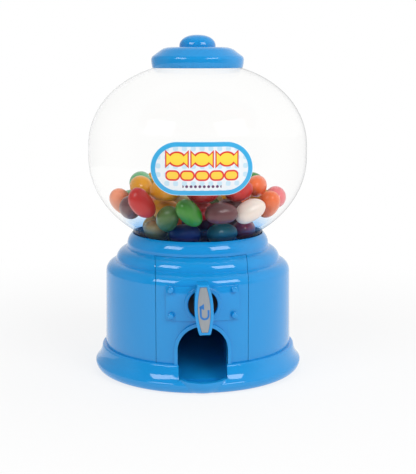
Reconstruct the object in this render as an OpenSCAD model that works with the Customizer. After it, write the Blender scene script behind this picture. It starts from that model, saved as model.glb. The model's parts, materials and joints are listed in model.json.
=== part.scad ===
// Table-top candy machine: clear globe on a stepped round base, with a
// turn handle that carries candies from the globe down to an outlet.
// Millimetres. +Z is up, the front faces -Y, the origin is the centre of the underside.

/* [Globe] */
// Greatest radius of the globe
globe_r = 42.5; // [42:0.1:43]
// Height of the globe's equator above the table
globe_z = 86; // [86:0.1:86.4]
// Half height of the short straight band at the equator
globe_band = 2; // [1.5:0.1:2]
// Height of the upper dome's full oval
globe_up = 32.8; // [32.6:0.1:33]
// Depth of the lower bowl's full ellipse
globe_down = 35; // [34.6:0.1:35]
// Wall of the globe
globe_wall = 1.3; // [1.2:0.1:1.4]
// Outer radius of the neck that enters the base
neck_low_r = 25.2; // [25.1:0.05:25.25]
// Outer radius of the filling neck under the lid
neck_top_r = 15.9; // [15.8:0.1:16]
// Top of the filling neck
neck_top_z = 121.6; // [121.4:0.1:121.7]

/* [Base] */
// Radius of the wall at its top edge
wall_top_r = 36.3; // [36.2:0.1:36.4]
// Radius of the wall at the foot
wall_low_r = 36.75; // [36.6:0.05:36.8]
// Wall thickness of the housing
shell = 1.8; // [1.7:0.1:1.9]
// Height of the joint between the foot and the housing
foot_z = 10.5; // [10.4:0.1:10.6]
// Height of the top of the collar ring
ring_z = 54.3; // [54.2:0.1:54.4]
// Greatest radius of the foot
foot_r = 40.9; // [40.8:0.05:41]

/* [Front panel] */
// Half width of the front panel
panel_half = 17.1; // [17:0.1:17.2]
// Gap at each seam of the panel
seam = 0.15; // [0.1:0.05:0.2]
// Centre height of the outlet arch
arch_z = 15.9; // [15.8:0.1:16]
// Radius of the outlet arch
arch_r = 9.3; // [9.2:0.1:9.4]
// Radius of the hole for the handle's shaft
hole_r = 5.4; // [5.2:0.1:5.5]

/* [Drive] */
// Height of the handle's axis
axis_z = 33.4; // [33.3:0.1:33.5]
// Radius of the dispensing drum
drum_r = 10.5; // [10.4:0.1:10.6]
// Length of the dispensing drum
drum_len = 26; // [25.8:0.1:26]
// Radius of the drum's journals
journal_r = 4; // [3.9:0.1:4.1]
// Running clearance of each journal in its bearing
running = 0.06; // [0.03:0.01:0.09]
// Radius of the handle's shaft
shaft_r = 2.8; // [2.7:0.1:2.9]
// Height of the handle's grip
grip_h = 18.4; // [18:0.1:18.6]
// Width of the grip at its back
grip_w = 6.8; // [6.6:0.1:7]
// Lean of the grip at rest, in degrees
grip_lean = -2; // [-3:0.5:3]

/* [Lid] */
// Radius of the lid at its rim
lid_r = 17.9; // [17.8:0.1:18]
// Radius of the knob on the lid
knob_r = 7.04; // [6.9:0.02:7.1]
// Top of the knob, the top of the whole machine
top_z = 131; // [130.6:0.1:131.2]
// Radial clearance of the lid's plug in the neck
lid_play = 0.1; // [0.06:0.02:0.1]

/* [Candies] */
// Half length of a candy
candy_a = 6.6; // [6.4:0.05:6.6]
// Half thickness of a candy
candy_b = 4.4; // [4.2:0.05:4.4]

/* [Hidden] */
$fn = 96;

big = 200;                       // larger than the machine
blue = "dodgerblue";
wall_top_z = 39.5;               // the wall's top edge
step_r = 4.4;                    // round of the lower step
mid_r = 32.3;                    // vertical side of the upper step
mid_z = 44;
mid_round = 5;
ring_out = 27.9;                 // greatest radius of the collar ring
ring_mid_z = 49.9;
ring_round = 6.1;
ring_bore = 25.35;               // bore that takes the globe's neck
shelf_z = 46;                    // underside of the shelf that carries the hopper
shelf_t = 2;
dish_top = 49.5;
dish_hole = 8.6;
dish_hole_z = 46;
spout_r = 10.2;                  // outside of the hopper's spout, and where its slope meets it
spout_z = 45.2;
plate_t = 2;                     // base plate
plate_r = 37.1;
post_r = 3;                      // screw posts inside the housing
post_at = 31.5;
cup_y = -30.4;                   // centre and radius of the tray's bowl
cup_r = 12;
cup_wall = 1.2;
tray_half = 9;                   // half width between the tray's sides
tray_back = -31;
rim_z = 5;                       // rim at the front of the tray, and its fall in degrees
rim_fall = 8;
front_y = -drum_len / 2;         // front face of the drum
barrel_in = drum_r + 0.3;        // drum housing, inner and outer radius
barrel_out = barrel_in + 1.6;
barrel_front = -15;
ear_x = 16;                      // ears of the drum housing
ear_y = 8;
ear_z = 43.2;
ear_t = 1.6;
chute_half = 9.2;                // inner half width of the chute
chute_wall = 1.2;
chute_front = -30.8;
chute_back = 10.6;
chute_low = 3.4;
chute_high = 14.5;
chute_top = 20.6;
grip_back = -38.3;               // the grip spans these two planes
grip_front = -46;
badge_t = 0.35;
collar_r = 6.8;
pocket_x = 6.5;                  // half width and half length of the drum's pocket
pocket_y = 8;
pocket_floor = -0.5;
lid_low_z = 118.4;               // lower edge of the lid's rim, just above the globe
plug_low_z = 118.6;              // lower edge of the lid's plug
dome_power = 2.1;                // how square the globe's upper dome and the knob are
knob_power = 2.3;
label_z = 83.65;                 // centre of the label, and its turn from the front
label_turn = -0.7;
floor_ring = [9.5, 51.5];        // rings of candies inside the pile: radius and height
low_ring = [18.6, 56.2];
inner_ring = [17.6, 65.4];
core_ring = [7.6, 65.6];
top_ring = [23.4, 73.2];
crown_ring = [12.4, 73.6];

// ---- outlines and helpers -------------------------------------------------

// Points along an arc in the (radius, height) plane.
function arc(cx, cz, r, from, to, n = 10) =
    [for (i = [0:n]) let (a = from + (to - from) * i / n) [cx + r * cos(a), cz + r * sin(a)]];

// Points along an ellipse's arc.
function oval(cx, cz, a, b, from, to, n = 32) =
    [for (i = [0:n]) let (t = from + (to - from) * i / n) [cx + a * cos(t), cz + b * sin(t)]];

// Angle at which an ellipse of half width a has the radius r.
function at_radius(r, a) = acos(r / a);

// The same two for an oval that is squarer than an ellipse, whose power is 2.
function full_oval(cz, a, b, power, from, to, n = 32) =
    [for (i = [0:n]) let (t = from + (to - from) * i / n)
        [a * pow(max(cos(t), 0), 2 / power), cz + b * pow(max(sin(t), 0), 2 / power)]];
function at_full_radius(r, a, power) = acos(pow(r / a, power / 2));

// The globe's outline from its filling neck down to its lower neck, moved inwards by t.
function globe_line(t, r_top, r_low) = concat(
    full_oval(globe_z + globe_band, globe_r - t, globe_up - t, dome_power,
              at_full_radius(r_top, globe_r - t, dome_power), 0),
    oval(0, globe_z - globe_band, globe_r - t, globe_down - t, 0, -at_radius(r_low, globe_r - t)));

// Outer line of the base, from the foot joint up to the ring's inner edge.
function base_line() = concat(
    [[wall_low_r, foot_z]],
    arc(wall_top_r - step_r, wall_top_z, step_r, 0, 76),
    arc(mid_r - mid_round, mid_z, mid_round, 0, 80),
    arc(ring_out - ring_round, ring_mid_z, ring_round, -6, 46));

// Inner line of the base shell below the shelf, from the top down.
function shell_line() = [
    [mid_r - 5.6, shelf_z + shelf_t], [mid_r - 3, mid_z + 1.2], [mid_r - shell, mid_z - 2.4],
    [wall_top_r - shell - 0.1, wall_top_z - 0.6], [wall_low_r - shell, foot_z]];

module ring_of(points) { rotate_extrude() polygon(points); }

// A round bar along +Y from y0 to y1.
module bar_y(r, y0, y1) { translate([0, y0, 0]) rotate([-90, 0, 0]) cylinder(r = r, h = y1 - y0); }

// A box from one corner to the opposite one.
module block(low, high) { translate(low) cube(high - low); }

// A pan-head screw pointing up, with its head's underside at the origin.
module screw_up(shank_r, length, head_r, head_t) {
    cylinder(r = shank_r, h = length, $fn = 32);
    difference() {
        translate([0, 0, -head_t]) cylinder(r = head_r, h = head_t, $fn = 48);
        for (turn = [0, 90]) rotate(turn)
            translate([-head_r * 0.6, -0.25, -head_t - 1]) cube([head_r * 1.2, 0.5, 1 + head_t * 0.5]);
    }
}

module at_posts() { for (a = [45:90:315]) rotate(a) translate([post_at, 0, 0]) children(); }
module at_ears() { for (sx = [-1, 1], sy = [-1, 1]) translate([sx * ear_x, sy * ear_y, 0]) children(); }
module at_cap_screws() { for (a = [45:90:315]) rotate([0, a, 0]) translate([0, 0, barrel_out + 0.6]) children(); }
module at_chute_screws() { for (s = [-1, 1]) translate([s * (chute_half + chute_wall + 3), -4, 0]) children(); }

// ---- base -----------------------------------------------------------------

module base_plate() {
    color(blue) difference() {
        cylinder(r = plate_r, h = plate_t);
        block([-cup_r - 0.2, -big, -1], [cup_r + 0.2, tray_back + 0.1, plate_t + 1]);
        at_posts() {
            translate([0, 0, -1]) cylinder(r = 1.4, h = 4, $fn = 32);
            translate([0, 0, -1]) cylinder(r = 2.7, h = 2.3, $fn = 48);
        }
        at_chute_screws() {
            translate([0, 0, -1]) cylinder(r = 1.2, h = 4, $fn = 32);
            translate([0, 0, -1]) cylinder(r = 2.2, h = 2.1, $fn = 48);
        }
    }
}

module base_screws() {
    color("silver") at_posts() translate([0, 0, 1.3]) screw_up(1.2, 11, 2.4, 1.1);
}

// Outer line of the foot, from the joint with the housing down to the table.
function foot_line() = concat(
    arc(wall_low_r + 0.45, foot_z - 1, 1, 90, 10, 5),
    [[wall_low_r + 1.7, foot_z - 2.3], [wall_low_r + 2.2, foot_z - 3.7], [foot_r - 1.3, 5.6], [foot_r - 0.7, 4.9]],
    arc(foot_r - 1.1, 3.6, 1.1, 45, 0, 4),
    arc(foot_r - 3.7, 3.7, 3.7, -5, -84, 10));

// A round bowl in front of the outlet: radius at the rim, floor height, round of the floor.
module tray_bowl(r, floor_z, round) {
    translate([0, cup_y, 0])
        ring_of(concat([[0, floor_z], [r - round, floor_z]],
                       arc(r - round, floor_z + round, round, -90, 0),
                       [[r, 12], [0, 12]]));
}

// Everything above the tray's rim, which falls towards the front.
module above_rim(half) {
    translate([0, cup_y - cup_r, rim_z]) rotate([rim_fall, 0, 0])
        translate([-half, -10, 0]) cube([2 * half, 40, 40]);
}

module foot_base() {
    color(blue) difference() {
        union() {
            ring_of(concat(foot_line(),
                [[plate_r + 0.1, 0], [plate_r + 0.1, plate_t], [wall_top_r, plate_t],
                 [wall_top_r, foot_z - 3], [wall_low_r - shell, foot_z - 1.5],
                 [wall_low_r - shell, foot_z]]));
            difference() {
                tray_bowl(cup_r, 0, 5);
                above_rim(20);
                block([-big, tray_back, -1], [big, big, foot_z + 1]);
            }
            for (s = [-1, 1])
                block([s > 0 ? tray_half - 0.5 : -tray_half - 1.4, -36, 1], [s > 0 ? tray_half + 1.4 : -tray_half + 0.5, tray_back, foot_z - 0.9]);
        }
        // the tray's hollow, and the way in above its rim, between the two sides
        intersection() {
            union() {
                tray_bowl(cup_r - cup_wall, 2.2, 4);
                above_rim(20);
            }
            block([-tray_half, -60, 1], [tray_half, tray_back + 0.5, 20]);
        }
    }
}

// The solid between the base's outer line and the inner line.
module base_shell() {
    ring_of(concat(base_line(), [[ring_bore, ring_z], [ring_bore, shelf_z + shelf_t]], shell_line()));
}

module panel_window(half, top) {
    difference() {
        block([-half, -big, foot_z - 1], [half, -20, top]);
        translate([0, 0, ring_mid_z - 7]) cylinder(r = ring_out - 0.35, h = 20);
    }
}

module body_housing() {
    color(blue) difference() {
        union() {
            difference() {
                base_shell();
                panel_window(panel_half + seam, ring_mid_z - 0.75);
            }
            // collar with the shelf that carries the hopper
            ring_of([[ring_bore - 4.5, shelf_z], [ring_out - 0.5, shelf_z], [ring_out - 0.5, ring_mid_z],
                     [ring_bore, ring_mid_z], [ring_bore, shelf_z + shelf_t],
                     [ring_bore - 4.5, shelf_z + shelf_t]]);
            // posts for the base screws, each with a rib to the wall
            at_posts() {
                translate([0, 0, plate_t]) cylinder(r = post_r, h = 40.3 - plate_t, $fn = 48);
                block([0, -1, foot_z + 1], [3.9, 1, 38]);
            }
        }
        at_posts() translate([0, 0, plate_t - 1]) cylinder(r = 1.2, h = 13, $fn = 32);
        // groove for the globe's lugs
        ring_of([[ring_bore - 1, 50.2], [ring_bore + 0.95, 50.2], [ring_bore + 0.95, 52], [ring_bore - 1, 52]]);
    }
}

// Cuts and bumps that stand on the panel are drawn along -Y at the handle's axis.
module arch_hole(grow) {
    translate([0, -20, arch_z]) rotate([90, 0, 0]) cylinder(r = arch_r + grow, h = 40);
    block([-arch_r - grow, -60, 0], [arch_r + grow, -20, arch_z]);
}

// Shell of the wall's shape between radius r0 and the outer line moved out by proud.
module wall_skin(r0, r1, low, high) { ring_of([[r0, low], [r1, low], [r1, high], [r0, high]]); }

module front_panel() {
    color(blue) difference() {
        union() {
            intersection() {
                base_shell();
                panel_window(panel_half, ring_mid_z - 0.9);
            }
            // side flanges behind the housing's wall
            intersection() {
                wall_skin(33, 34.35, foot_z + 1, 38);
                union() for (s = [-1, 1])
                    translate([s * 17.3 - 3, -big, 0]) cube([6, big - 20, 60]);
            }
            intersection() {
                wall_skin(33, 35.2, foot_z + 1, 38);
                union() for (s = [-1, 1])
                    translate([s * 15.4 - 1.2, -big, 0]) cube([2.4, big - 20, 60]);
            }
            // raised plate with its four bumps
            intersection() {
                wall_skin(35, 37.05, 27.2, 40);
                block([-13.5, -big, 20], [13.5, -20, 50]);
            }
            for (x = [-11.7, 11.7], z = [29, 38.65])
                translate([x, -35.05, z]) intersection() {
                    sphere(r = 1.75, $fn = 32);
                    rotate([90, 0, 0]) cylinder(r = 1.2, h = 4, $fn = 32);
                }
            // collar around the handle's hole and border around the arch
            translate([0, 0, axis_z]) bar_y(collar_r, -37.5, -34.8);
            intersection() {
                wall_skin(35, 37.35, foot_z, 30);
                arch_hole(1.3);
            }
        }
        translate([0, 0, axis_z]) bar_y(hole_r, -60, -20);
        arch_hole(0);
    }
}

// ---- hopper and dispensing drive --------------------------------------------

module hopper_dish() {
    color(blue) difference() {
        union() {
            ring_of([[dish_hole, dish_hole_z], [22.5, dish_top], [25.2, dish_top], [25.2, dish_top - 1.5],
                     [20.4, dish_top - 1.5], [20.4, dish_top - 2.4], [spout_r, spout_z], [spout_r, 44.4],
                     [dish_hole, 44.4]]);
            at_ears() translate([0, 0, ear_z + ear_t]) cylinder(r = 2.3, h = 2.4, $fn = 48);
        }
        at_ears() translate([0, 0, ear_z]) cylinder(r = 0.9, h = ear_t + 2.2, $fn = 32);
    }
}

module drum_housing() {
    color("gainsboro") translate([0, 0, axis_z]) difference() {
        union() {
            bar_y(barrel_out, barrel_front, 13.2);
            // eyes for the cap's screws
            at_cap_screws() bar_y(2.2, 6, 13.2);
            // ears that hang from the hopper
            for (s = [-1, 1])
                block([s > 0 ? 6 : -ear_x - 3, -ear_y - 3, ear_z - axis_z],
                      [s > 0 ? ear_x + 3 : -6, ear_y + 3, ear_z - axis_z + ear_t]);
        }
        bar_y(barrel_in, barrel_front + 1.7, 20);
        bar_y(journal_r + running, barrel_front - 1, 0);
        at_cap_screws() bar_y(0.9, 7, 20);
        // mouth under the hopper, and the way out to the chute
        cylinder(r = spout_r + 0.1, h = 30);
        block([-8, -9, -30], [8, 9, 0]);
        // relief under the hopper's slope
        translate([0, 0, spout_z - axis_z - 0.1]) cylinder(r1 = spout_r + 0.1, r2 = 24.1, h = 2.57);
        at_ears() translate([0, 0, 5]) cylinder(r = 1.2, h = 10, $fn = 32);
    }
}

module drum_housing_screws() {
    color("silver") at_ears() translate([0, 0, ear_z]) screw_up(0.9, 3.6, 1.9, 1.2);
}

module bearing_cap() {
    color("gainsboro") translate([0, 0, axis_z]) difference() {
        intersection() {
            bar_y(barrel_out + 3, 13.2, 15.2);
            block([-big, 0, -11.4], [big, 20, 11]);
        }
        bar_y(journal_r + running, 12, 17);
        at_cap_screws() bar_y(1.2, 12, 17);
    }
}

module bearing_cap_screws() {
    color("silver") translate([0, 0, axis_z]) at_cap_screws()
        translate([0, 15.2, 0]) rotate([90, 0, 0]) screw_up(0.9, 7, 1.9, 1.2);
}

module dispensing_drum() {
    color("white") translate([0, 0, axis_z]) difference() {
        union() {
            bar_y(drum_r, front_y, -front_y);
            bar_y(journal_r, front_y - 9, front_y + 1);
            bar_y(journal_r, -front_y - 1, 15.6);
        }
        // pocket that carries the candies
        block([-pocket_x, -pocket_y, pocket_floor], [pocket_x, pocket_y, 20]);
        // socket for the handle's shaft, and its screw from the pocket
        bar_y(shaft_r, front_y - 10, front_y + 2);
        bar_y(1.2, front_y, 0);
        bar_y(2.6, -pocket_y - 2, -pocket_y + 0.1);
    }
}

module drum_screw() {
    color("silver") translate([0, -pocket_y - 2, axis_z]) rotate([90, 0, 0]) screw_up(1.2, 9, 2.4, 1.4);
}

// Barrel outline of the grip: flat ends, bowed sides.
function grip_outline(w, h, end_w) = let (s = (w - end_w) / 2, r = (h * h / 4 + s * s) / (2 * s),
                                          half = asin(h / 2 / r), n = 12)
    concat([for (i = [0:n]) let (a = -half + 2 * half * i / n) [w / 2 - r + r * cos(a), r * sin(a)]],
           [for (i = [0:n]) let (a = half - 2 * half * i / n) [-w / 2 + r - r * cos(a), r * sin(a)]]);

module turn_handle() {
    color(blue) translate([0, 0, axis_z]) rotate([0, grip_lean, 0]) difference() {
        union() {
            translate([0, grip_back, 0]) rotate([90, 0, 0])
                linear_extrude(grip_back - grip_front) polygon(grip_outline(grip_w, grip_h, 4));
            bar_y(shaft_r, grip_back - 1, front_y + 2);
        }
        translate([0, grip_front + badge_t, 0]) rotate([90, 0, 0])
            linear_extrude(badge_t + 1) polygon(grip_outline(grip_w - 2.2, grip_h - 1.8, 2.3));
        bar_y(1.2, front_y - 12, front_y + 3);
    }
}

module handle_badge() {
    color("silver") translate([0, grip_front + badge_t, axis_z]) rotate([90, 0, 0]) rotate(-grip_lean)
        linear_extrude(badge_t - 0.05) polygon(grip_outline(grip_w - 2.3, grip_h - 1.9, 2.2));
}

// Height of the chute's floor at y.
function chute_z(y) = chute_low + (chute_high - chute_low) * (y - chute_front) / (chute_back - chute_front);

module chute() {
    out = chute_half + chute_wall;
    color("gainsboro") difference() {
        union() {
            for (s = [-1, 1])
                block([s > 0 ? chute_half : -out, chute_front, plate_t],
                      [s > 0 ? out : -chute_half, chute_back + 1.2, chute_top]);
            block([-out, chute_back, plate_t], [out, chute_back + 1.2, chute_top]);
            rotate([90, 0, 90]) translate([0, 0, -chute_half])
                linear_extrude(2 * chute_half)
                    polygon([[chute_front, chute_low], [chute_back, chute_high],
                             [chute_back, chute_high - 1.4], [chute_front, chute_low - 1.3]]);
            at_chute_screws() translate([0, 0, plate_t]) cylinder(r = 3, h = 5, $fn = 48);
            for (s = [-1, 1])
                block([s > 0 ? chute_half + 0.2 : -out - 2.5, -5, plate_t], [s > 0 ? out + 2.5 : -chute_half - 0.2, -3, 7]);
        }
        at_chute_screws() translate([0, 0, plate_t - 1]) cylinder(r = 0.9, h = 5, $fn = 32);
    }
}

module chute_screws() {
    color("silver") at_chute_screws() translate([0, 0, 1.1]) screw_up(0.9, 4.6, 1.9, 0.9);
}

// ---- globe ------------------------------------------------------------------

module globe() {
    inner_low = neck_low_r - 1.5;
    inner_top = neck_top_r - 1.35;
    line_in = globe_line(globe_wall, inner_top, inner_low);
    color("white", 0.25) union() {
        ring_of(concat([[inner_top, neck_top_z], [neck_top_r, neck_top_z]],
                       globe_line(0, neck_top_r, neck_low_r),
                       [[neck_low_r, dish_top], [inner_low, dish_top]],
                       backwards(line_in)));
        // three lugs that lock in the ring's groove
        for (a = [30, 150, 270]) rotate(a) intersection() {
            ring_of([[neck_low_r - 0.5, 50.35], [ring_bore + 0.8, 50.35], [ring_bore + 0.8, 51.85],
                     [neck_low_r - 0.5, 51.85]]);
            block([0, -6, 40], [40, 6, 60]);
        }
    }
}

function backwards(points) = [for (i = [len(points) - 1:-1:0]) points[i]];

module globe_label() {
    gap = 0.04;
    thick = 0.2;
    half_w = 18.2;
    half_h = 9.55;
    color("white") rotate(label_turn) intersection() {
        ring_of(concat(globe_line(-gap - thick, 30, 30), backwards(globe_line(-gap, 30, 30))));
        translate([0, -20, label_z]) rotate([90, 0, 0]) linear_extrude(40) union() {
            square([2 * (half_w - half_h), 2 * half_h], center = true);
            for (s = [-1, 1]) translate([s * (half_w - half_h), 0]) circle(r = half_h);
        }
    }
}

// ---- lid ----------------------------------------------------------------------

function lid_line() = concat(
    [[lid_r - 0.4, lid_low_z], [lid_r - 0.1, 120.2]],
    arc(lid_r - 2, 121.5, 2, 0, 48, 6),
    arc(10.6, 119.8, 6.5, 48, 90, 8),
    arc(10.6, 122.3, 4, 96, 130, 6));

module lid_cap() {
    plug_r = neck_top_r - 1.35 - lid_play;
    seat = 125.36;
    color(blue) difference() {
        ring_of(concat(lid_line(),
            [[3, seat], [3, seat - 1.8], [plug_r - 1.4, seat - 1.8], [plug_r - 1.4, plug_low_z], [plug_r, plug_low_z],
             [plug_r, neck_top_z + 0.3], [neck_top_r + 0.3, neck_top_z + 0.3], [neck_top_r + 0.3, 118.95],
             [lid_r - 1, lid_low_z + 0.2]]));
        // key slots for the knob's stem
        translate([0, 0, seat - 3]) cylinder(r = 3, h = 6);
    }
}

module lid_knob() {
    seat = 125.36;
    color(blue) difference() {
        ring_of(concat([[0, seat], [knob_r, seat], [knob_r, 126.4]],
                       full_oval(126.4, knob_r, top_z - 126.4, knob_power, 0, 90, 16)));
        translate([0, 0, seat - 1]) cylinder(r = 1.2, h = 4.5, $fn = 32);
    }
    color(blue) translate([0, 0, seat - 1.8]) difference() {
        cylinder(r = 3, h = 1.8);
        translate([0, 0, -1]) cylinder(r = 1.2, h = 4, $fn = 32);
    }
}

module knob_screw() {
    color("silver") translate([0, 0, 122.8]) union() {
        screw_up(1.2, 5.6, 2.6, 1.4);
        difference() {
            cylinder(r = 5, h = 0.76);
            translate([0, 0, -1]) cylinder(r = 1.1, h = 3, $fn = 32);
        }
    }
}

// ---- candies --------------------------------------------------------------------

// Radius of the globe's inner wall at height z, and how much its normal points outwards.
function wall_r(z) = let (k = (globe_z - globe_band - z) / (globe_down - globe_wall))
    (globe_r - globe_wall) * sqrt(1 - k * k);
function wall_out(z) = let (a = globe_r - globe_wall, b = globe_down - globe_wall,
                            u = wall_r(z) / (a * a), v = (globe_z - globe_band - z) / (b * b))
    u / sqrt(u * u + v * v);

// One candy lying along X at the origin.
module candy() {
    rotate([0, 90, 0]) ring_of([for (i = [0:12]) let (t = -90 + 15 * i) [candy_b * cos(t), candy_a * sin(t)]]);
}

// A candy at azimuth az from the front, radius r and height z. tilt raises its
// right-hand end along a surface that leans outwards by lean.
module candy_at(az, r, z, tilt, lean) {
    rotate(az) translate([0, -r, z]) rotate([lean, 0, 0]) rotate([0, -tilt, 0]) candy();
}

// Candies against the globe's wall: azimuth, height, tilt.
module wall_candies(places) {
    for (p = places) candy_at(p[0], wall_r(p[1]) - (candy_b + 0.3) / wall_out(p[1]), p[1], p[2],
                              acos(wall_out(p[1])));
}

// Level candies along a ring [radius, height], at these azimuths.
module ring_candies(ring, azimuths) { for (az = azimuths) candy_at(az, ring[0], ring[1], 0, 0); }

module candies_red() {
    color("crimson") { wall_candies([[-44, 69, -70], [166, 66, 0]]); ring_candies(top_ring, [2, 38]);
        ring_candies(inner_ring, [-4]); ring_candies(crown_ring, [0]); }
}
module candies_orange() {
    color("darkorange") { wall_candies([[62, 67, -60]]); ring_candies(top_ring, [74, 182]);
        ring_candies(inner_ring, [86]); ring_candies(low_ring, [205]); ring_candies(crown_ring, [72]); }
}
module candies_yellow() {
    color("goldenrod") { wall_candies([[112, 66, 0]]); ring_candies(top_ring, [-34, -70, -142]);
        ring_candies(inner_ring, [131, 311]); ring_candies(crown_ring, [216]); }
}
module candies_peach() {
    color("sandybrown") { wall_candies([[-87, 67, 55]]); ring_candies(inner_ring, [266]);
        ring_candies(crown_ring, [288]); }
}
module candies_mint() {
    color("mediumaquamarine") { wall_candies([[-113, 66, 0]]); ring_candies(top_ring, [-106]);
        ring_candies(inner_ring, [221]); }
}
module candies_green() {
    color("forestgreen") { wall_candies([[-9, 66, -60], [-140, 66, 0]]); ring_candies(top_ring, [110]);
        ring_candies(low_ring, [160]); ring_candies(crown_ring, [144]); }
}
module candies_olive() {
    color("darkolivegreen") { wall_candies([[-28, 63, 60]]); ring_candies(core_ring, [20]); }
}
module candies_brown() {
    color("saddlebrown") { wall_candies([[-64, 66, 35], [15, 65.5, 0]]); ring_candies(low_ring, [115]);
        ring_candies(inner_ring, [41]); }
}
module candies_white() {
    color("linen") { wall_candies([[41, 65.5, 35], [139, 66, 0]]); ring_candies(inner_ring, [176]); }
}
module candies_navy() {
    color("midnightblue") { ring_candies(low_ring, [-18]); ring_candies(floor_ring, [0, 180]); }
}
module candies_teal() {
    color("teal") { wall_candies([[-167, 66, 0]]); ring_candies(low_ring, [27]); ring_candies(floor_ring, [270]); }
}
module candies_maroon() {
    color("maroon") { ring_candies(low_ring, [70]); ring_candies(floor_ring, [90]);
        ring_candies([0, 58.5], [0]); }
}
module candies_tan() {
    color("tan") { ring_candies(low_ring, [-65, 250]); ring_candies(core_ring, [140, 260]); }
}
module candies_pink() {
    color("hotpink") { wall_candies([[85, 68, 0]]); ring_candies(top_ring, [146]); }
}

base_plate();
base_screws();
foot_base();
body_housing();
front_panel();
hopper_dish();
drum_housing();
drum_housing_screws();
bearing_cap();
bearing_cap_screws();
dispensing_drum();
drum_screw();
turn_handle();
handle_badge();
chute();
chute_screws();
globe();
globe_label();
lid_cap();
lid_knob();
knob_screw();
candies_red();
candies_orange();
candies_yellow();
candies_peach();
candies_mint();
candies_green();
candies_olive();
candies_brown();
candies_white();
candies_navy();
candies_teal();
candies_maroon();
candies_tan();
candies_pink();
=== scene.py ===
"""Looks of a table-top candy machine, built around its fixed frame.

Lengths are in millimetres in the named values and in metres in Blender (MM turns one into the other).
The front faces -Y and +Z is up.
"""

import json
import math

import bpy
from mathutils import Matrix, Vector


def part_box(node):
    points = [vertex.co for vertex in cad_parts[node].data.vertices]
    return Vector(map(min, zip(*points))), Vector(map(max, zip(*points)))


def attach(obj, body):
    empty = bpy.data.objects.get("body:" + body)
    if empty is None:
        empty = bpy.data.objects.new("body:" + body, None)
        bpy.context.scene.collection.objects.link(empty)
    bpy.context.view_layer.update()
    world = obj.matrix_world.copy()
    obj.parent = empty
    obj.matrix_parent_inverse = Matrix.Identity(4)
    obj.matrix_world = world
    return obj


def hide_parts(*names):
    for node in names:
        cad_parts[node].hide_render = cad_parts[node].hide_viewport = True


MM = 0.001
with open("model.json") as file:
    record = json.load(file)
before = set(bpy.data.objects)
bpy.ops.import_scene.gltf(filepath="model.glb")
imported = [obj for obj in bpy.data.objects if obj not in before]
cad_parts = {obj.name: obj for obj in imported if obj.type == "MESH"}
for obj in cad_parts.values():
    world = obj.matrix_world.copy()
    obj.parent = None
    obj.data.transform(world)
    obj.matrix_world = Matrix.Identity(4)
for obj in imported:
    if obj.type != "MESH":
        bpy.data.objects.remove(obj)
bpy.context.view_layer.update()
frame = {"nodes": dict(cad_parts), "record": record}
NODES = frame["nodes"]

# ---------------------------------------------------------------- driving sizes, from the frame


def corners(node):
    """A node's lowest and highest corners in millimetres."""
    low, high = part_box(node)
    return low / MM, high / MM


GLOBE_HIGH = corners("globe")[1]
LID_LOW, LID_HIGH = corners("lid_cap")
KNOB_LOW, KNOB_HIGH = corners("lid_knob")
BODY_HIGH = corners("body_housing")[1]
PANEL_LOW = corners("front_panel")[0]
FOOT_HIGH = corners("foot_base")[1]
GRIP_LOW, GRIP_HIGH = corners("turn_handle")
LABEL_LOW, LABEL_HIGH = corners("globe_label")

LABEL_HALF_W = 18.2      # the label's half width and half height
LABEL_HALF_H = 9.55


# ---------------------------------------------------------------- shader maths


class Value:
    """A socket in an expression: each operator adds a Math node."""

    def __init__(self, tree, socket):
        self.tree = tree
        self.socket = socket

    def _math(self, operation, *values):
        node = self.tree.nodes.new("ShaderNodeMath")
        node.operation = operation
        for slot, value in zip(node.inputs, values):
            link(self.tree, value, slot)
        return Value(self.tree, node.outputs[0])

    def __add__(self, other):
        return self._math("ADD", self, other)

    def __radd__(self, other):
        return self._math("ADD", other, self)

    def __sub__(self, other):
        return self._math("SUBTRACT", self, other)

    def __rsub__(self, other):
        return self._math("SUBTRACT", other, self)

    def __mul__(self, other):
        return self._math("MULTIPLY", self, other)

    def __truediv__(self, other):
        return self._math("DIVIDE", self, other)

    def __pow__(self, other):
        return self._math("POWER", self, other)

    def __abs__(self):
        return self._math("ABSOLUTE", self)

    def most(self, other):
        return self._math("MAXIMUM", self, other)

    def root(self):
        return self._math("SQRT", self)

    def floor(self):
        return self._math("FLOOR", self)

    def below(self, edge, soft):
        """1 where the value is under edge, 0 above it, with a soft step between."""
        node = self.tree.nodes.new("ShaderNodeMapRange")
        node.interpolation_type = "SMOOTHSTEP"
        link(self.tree, self, node.inputs["Value"])
        node.inputs["From Min"].default_value = edge - soft
        node.inputs["From Max"].default_value = edge + soft
        node.inputs["To Min"].default_value = 1.0
        node.inputs["To Max"].default_value = 0.0
        return Value(self.tree, node.outputs["Result"])


def link(tree, value, socket):
    """Puts a number, a colour or another socket into a socket."""
    if isinstance(value, Value):
        value = value.socket
    if isinstance(value, bpy.types.NodeSocket):
        tree.links.new(value, socket)
    else:
        socket.default_value = value


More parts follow.
